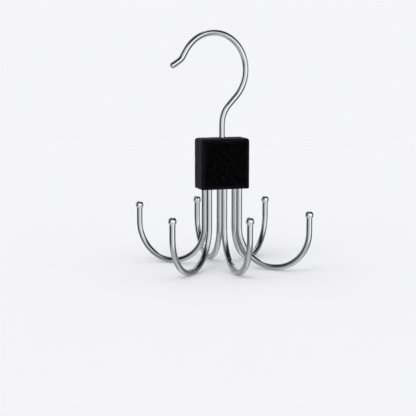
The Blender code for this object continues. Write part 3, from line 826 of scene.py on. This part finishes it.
class CLOSETHOOK_OT_stage(bpy.types.Operator):
    """Set up the pale floor, the soft light and the camera"""

    bl_idname = "closet_hook.stage"
    bl_label = "Stage"

    def execute(self, context):
        stage = context.scene.closet_hook_stage
        self.lay_floor(stage)
        self.light_world(context.scene, stage)
        self.hang_lamp(stage)
        self.aim_camera(context.scene, stage)
        context.scene.view_settings.view_transform = "Standard"
        return {"FINISHED"}

    @staticmethod
    def lay_floor(stage):
        """A pale paper floor that melts into the backdrop, open to a view from below."""
        below_hooks, faded = 0.05 * MM, 0.95 * stage.floor_radius
        clear_selection()
        bpy.ops.mesh.primitive_circle_add(vertices=128, radius=stage.floor_radius,
                                          fill_type="NGON", location=(0.0, 0.0, -below_hooks))
        floor = bpy.context.object
        floor.name = "paper_floor"
        made, tree, shader = new_finish("pale_backdrop_paper", Roughness=1.0,
                                        Specular_IOR_Level=0.0)
        place = add_node(tree, "ShaderNodeTexCoord")
        grain = add_node(tree, "ShaderNodeTexNoise", {"Scale": 1 / (30.0 * MM), "Detail": 2.0},
                         {"Vector": place.outputs["Object"]})
        tint = set_ramp(add_node(tree, "ShaderNodeValToRGB", None, {"Fac": grain.outputs["Fac"]}),
                        [(0.2, shade(stage.floor, 0.995)), (0.8, tuple(stage.floor))])
        tree.links.new(tint.outputs["Color"], shader.inputs["Base Color"])
        reach = add_node(tree, "ShaderNodeVectorMath", {"operation": "LENGTH"},
                         {0: place.outputs["Object"]})
        fade = add_node(tree, "ShaderNodeMapRange",
                        {"interpolation_type": "SMOOTHSTEP", "From Min": stage.floor_plain,
                         "From Max": faded}, {"Value": reach.outputs["Value"]})
        under = add_node(tree, "ShaderNodeNewGeometry")
        gone = add_node(tree, "ShaderNodeMath", {"operation": "MAXIMUM"},
                        {0: fade.outputs["Result"], 1: under.outputs["Backfacing"]})
        clear = add_node(tree, "ShaderNodeBsdfTransparent")
        mixed = add_node(tree, "ShaderNodeMixShader", None,
                         {0: gone.outputs[0], 1: shader.outputs[0], 2: clear.outputs[0]})
        tree.links.new(mixed.outputs[0], tree.nodes["Material Output"].inputs["Surface"])
        floor.data.materials.append(made)
        floor.visible_glossy = False

    @staticmethod
    def light_world(scene, stage):
        """Backdrop to the camera, even soft light to matt surfaces, a studio to bright metal."""
        world = bpy.data.worlds.new("studio")
        scene.world = world
        world.use_nodes = True
        tree = world.node_tree
        tree.nodes.clear()
        place = add_node(tree, "ShaderNodeTexCoord")
        turned = add_node(tree, "ShaderNodeMapping", {"Rotation": (0.0, 0.0, stage.yaw)},
                          {"Vector": place.outputs["Generated"]})
        axes = add_node(tree, "ShaderNodeSeparateXYZ", None, {0: turned.outputs["Vector"]})
        ahead = add_node(tree, "ShaderNodeMath", {"operation": "MULTIPLY", 1: -1.0},
                         {0: axes.outputs["Y"]})
        # Azimuth is 0 towards the camera and grows to its right.
        azimuth = add_node(tree, "ShaderNodeMath", {"operation": "ARCTAN2"},
                           {0: axes.outputs["X"], 1: ahead.outputs[0]})
        elevation = add_node(tree, "ShaderNodeMath", {"operation": "ARCSINE"},
                             {0: axes.outputs["Z"]})
        studio = add_node(tree, "ShaderNodeMath", {"operation": "ADD", 0: ROOM_LEVEL, 1: 0.0})
        for panel in PANELS:
            lit = CLOSETHOOK_OT_stage.hang_panel(tree, azimuth.outputs[0], elevation.outputs[0],
                                                 *panel)
            studio = add_node(tree, "ShaderNodeMath", {"operation": "ADD"},
                              {0: studio.outputs[0], 1: lit.outputs[0]})
        ways = add_node(tree, "ShaderNodeLightPath")
        backdrop = add_node(tree, "ShaderNodeBackground",
                            {"Color": tuple(stage.backdrop), "Strength": 1.0})
        soft = add_node(tree, "ShaderNodeBackground",
                        {"Color": (1.0, 1.0, 1.0, 1.0), "Strength": stage.soft_level})
        mirror = add_node(tree, "ShaderNodeBackground", {"Strength": 1.0},
                          {"Color": studio.outputs[0]})
        shiny = add_node(tree, "ShaderNodeMixShader", None,
                         {0: ways.outputs["Is Glossy Ray"], 1: soft.outputs[0],
                          2: mirror.outputs[0]})
        through = add_node(tree, "ShaderNodeMath", {"operation": "MAXIMUM"},
                           {0: ways.outputs["Is Camera Ray"],
                            1: ways.outputs["Is Transmission Ray"]})
        seen = add_node(tree, "ShaderNodeMixShader", None,
                        {0: through.outputs[0], 1: shiny.outputs[0], 2: backdrop.outputs[0]})
        add_node(tree, "ShaderNodeOutputWorld", None, {"Surface": seen.outputs[0]})

    @staticmethod
    def hang_panel(tree, azimuth, elevation, name, across, height, blur, level):
        """A soft-edged panel round the object that only bright metal sees. Angles in degrees."""
        shares = []
        for angle, (start, end) in ((azimuth, across), (elevation, height)):
            middle, half = math.radians((start + end) / 2), math.radians((end - start) / 2)
            edge = math.radians(blur) / 2
            off = add_node(tree, "ShaderNodeMath", {"operation": "SUBTRACT", 1: middle},
                           {0: angle})
            round_off = add_node(tree, "ShaderNodeMath",
                                 {"operation": "WRAP", 1: math.pi, 2: -math.pi},
                                 {0: off.outputs[0]})
            away = add_node(tree, "ShaderNodeMath", {"operation": "ABSOLUTE"},
                            {0: round_off.outputs[0]})
            shares.append(add_node(tree, "ShaderNodeMapRange",
                                   {"interpolation_type": "SMOOTHSTEP", "From Min": half - edge,
                                    "From Max": half + edge, "To Min": 1.0, "To Max": 0.0},
                                   {"Value": away.outputs[0]}))
        lit = add_node(tree, "ShaderNodeMath", {"operation": "MULTIPLY"},
                       {0: shares[0].outputs[0], 1: shares[1].outputs[0]})
        return add_node(tree, "ShaderNodeMath",
                        {"operation": "MULTIPLY", "label": name, 1: level}, {0: lit.outputs[0]})

    @staticmethod
    def hang_lamp(stage):
        """One wide soft lamp over the camera's left shoulder."""
        # Radians to the left of the camera, and the rise for each metre along.
        left_of_camera, rise = 0.5, 1.1
        lamp = bpy.data.lights.new("soft_key", "SUN")
        lamp.energy = stage.key_level
        lamp.angle = stage.key_width
        key = bpy.data.objects.new("soft_key", lamp)
        bpy.context.scene.collection.objects.link(key)
        azimuth = stage.yaw + left_of_camera
        towards = Vector((-math.sin(azimuth), -math.cos(azimuth), rise))
        key.rotation_euler = towards.to_track_quat("Z", "Y").to_euler()
        key.visible_glossy = False

    @staticmethod
    def aim_camera(scene, stage):
        """Look at the block from the photograph's side, height and distance."""
        yaw, pitch = stage.yaw, stage.pitch
        ahead = Vector((math.sin(yaw) * math.cos(pitch), math.cos(yaw) * math.cos(pitch),
                        -math.sin(pitch)))
        right = Vector((math.cos(yaw), -math.sin(yaw), 0.0))
        up = right.cross(ahead)
        target = Vector((0.0, 0.0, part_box("block_cover")[0].z))
        camera = bpy.data.objects.new("camera", bpy.data.cameras.new("camera"))
        scene.collection.objects.link(camera)
        camera.location = (target - ahead * stage.distance - right * stage.shift_right
                           - up * stage.shift_up)
        camera.rotation_euler = (math.pi / 2 - pitch, 0.0, -yaw)
        camera.data.lens = stage.lens
        camera.data.sensor_width = 36.0
        camera.data.clip_start = 0.01
        camera.data.clip_end = 20.0
        scene.camera = camera


class CLOSETHOOK_PT_sidebar(bpy.types.Panel):
    """Sizes, colours and steps of the closet hook."""

    bl_label = "Closet Hook"
    bl_idname = "CLOSETHOOK_PT_sidebar"
    bl_space_type = "VIEW_3D"
    bl_region_type = "UI"
    bl_category = "Closet Hook"

    def draw(self, context):
        for step, group in STEPS:
            box = self.layout.box()
            box.operator(step.bl_idname)
            settings = getattr(context.scene, "closet_hook_" + group)
            for key in settings.__annotations__:
                box.prop(settings, key)


GROUPS = {"wire": CLOSETHOOK_PG_wire, "hanger": CLOSETHOOK_PG_hanger,
          "ball": CLOSETHOOK_PG_ball, "block": CLOSETHOOK_PG_block,
          "inside": CLOSETHOOK_PG_inside, "stage": CLOSETHOOK_PG_stage}
STEPS = ((CLOSETHOOK_OT_j_hooks, "wire"), (CLOSETHOOK_OT_ball_tips, "ball"),
         (CLOSETHOOK_OT_hanger, "hanger"), (CLOSETHOOK_OT_block_cover, "block"),
         (CLOSETHOOK_OT_inside, "inside"), (CLOSETHOOK_OT_stage, "stage"))
CLASSES = tuple(GROUPS.values()) + tuple(step for step, _ in STEPS) + (CLOSETHOOK_PT_sidebar,)


def register():
    for item in CLASSES:
        bpy.utils.register_class(item)
    for name, group in GROUPS.items():
        setattr(bpy.types.Scene, "closet_hook_" + name, PointerProperty(type=group))


def unregister():
    for name in GROUPS:
        delattr(bpy.types.Scene, "closet_hook_" + name)
    for item in reversed(CLASSES):
        bpy.utils.unregister_class(item)


def main():
    register()
    for step, _ in STEPS:
        getattr(bpy.ops.closet_hook, step.bl_idname.split(".")[1])()


if __name__ == "__main__":
    main()
